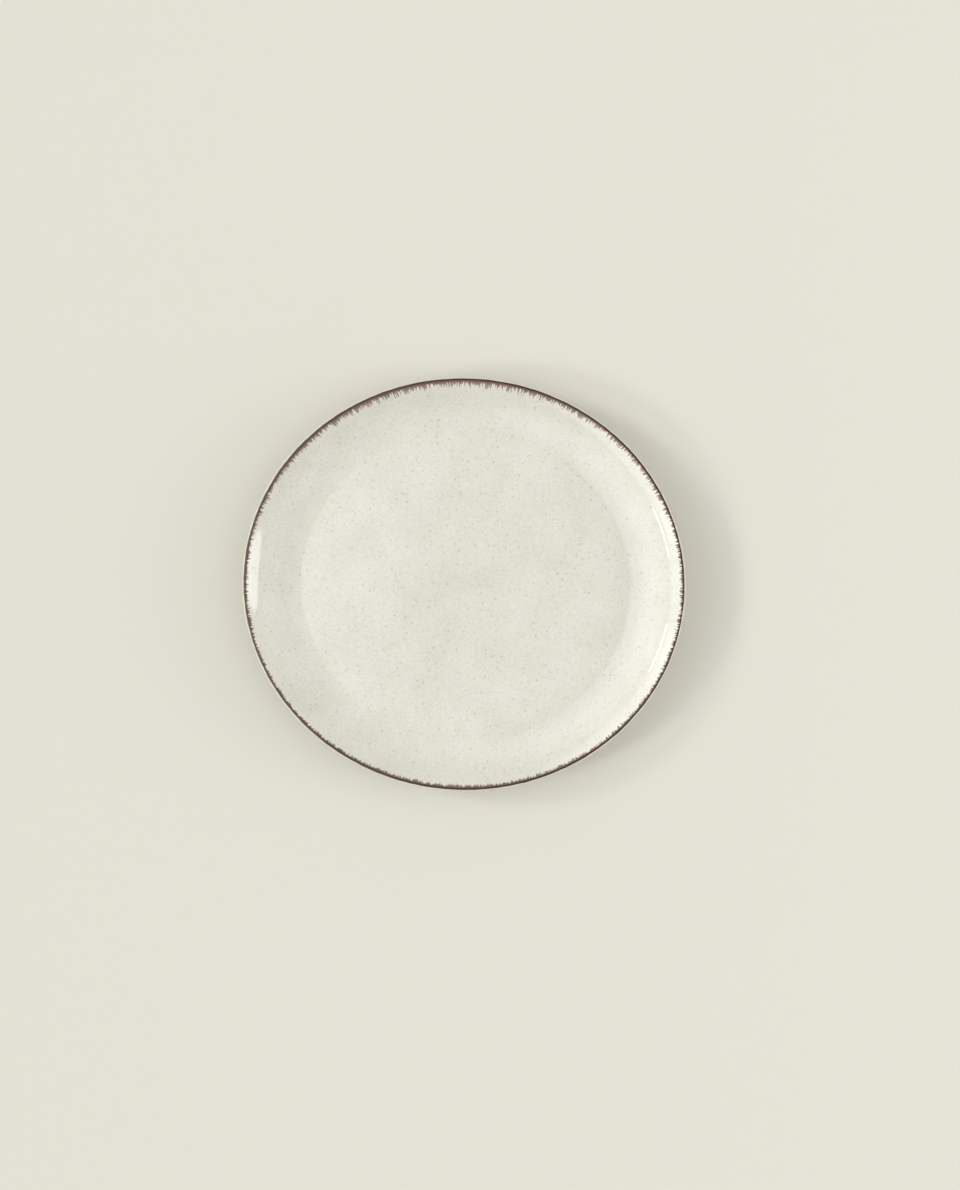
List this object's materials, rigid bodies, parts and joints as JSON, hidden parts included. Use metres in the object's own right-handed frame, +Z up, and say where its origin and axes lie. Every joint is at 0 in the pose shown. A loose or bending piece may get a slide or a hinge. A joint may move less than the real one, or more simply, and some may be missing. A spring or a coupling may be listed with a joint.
{
  "type": "dinner plate",
  "caption": "Shallow, slightly oval coupe plate: flat floor, wall curving up to a rounded lip, speckled cream glaze, brushed brown edge band and a bare foot ring.",
  "frame": {"origin": "on the table, under the centre of the plate", "axes": "+Z up out of the eating side, +X along the longer axis of the slightly oval lip"},
  "size_m": [0.273, 0.2546, 0.02],
  "materials": {
    "fired_clay": "bare fired clay, matte and slightly gritty",
    "cream_glaze": "clear gloss over a cream glaze with fine grey-brown speckles",
    "brown_glaze": "glossy brown oxide brushed by hand, dark at the lip and streaked inwards"
  },
  "bodies": {
    "root": {"plate_body": "fired_clay", "face_glaze": "cream_glaze", "rim_band": "brown_glaze", "outer_glaze": "cream_glaze", "foot_well_glaze": "cream_glaze"}
  },
  "joints": []
}
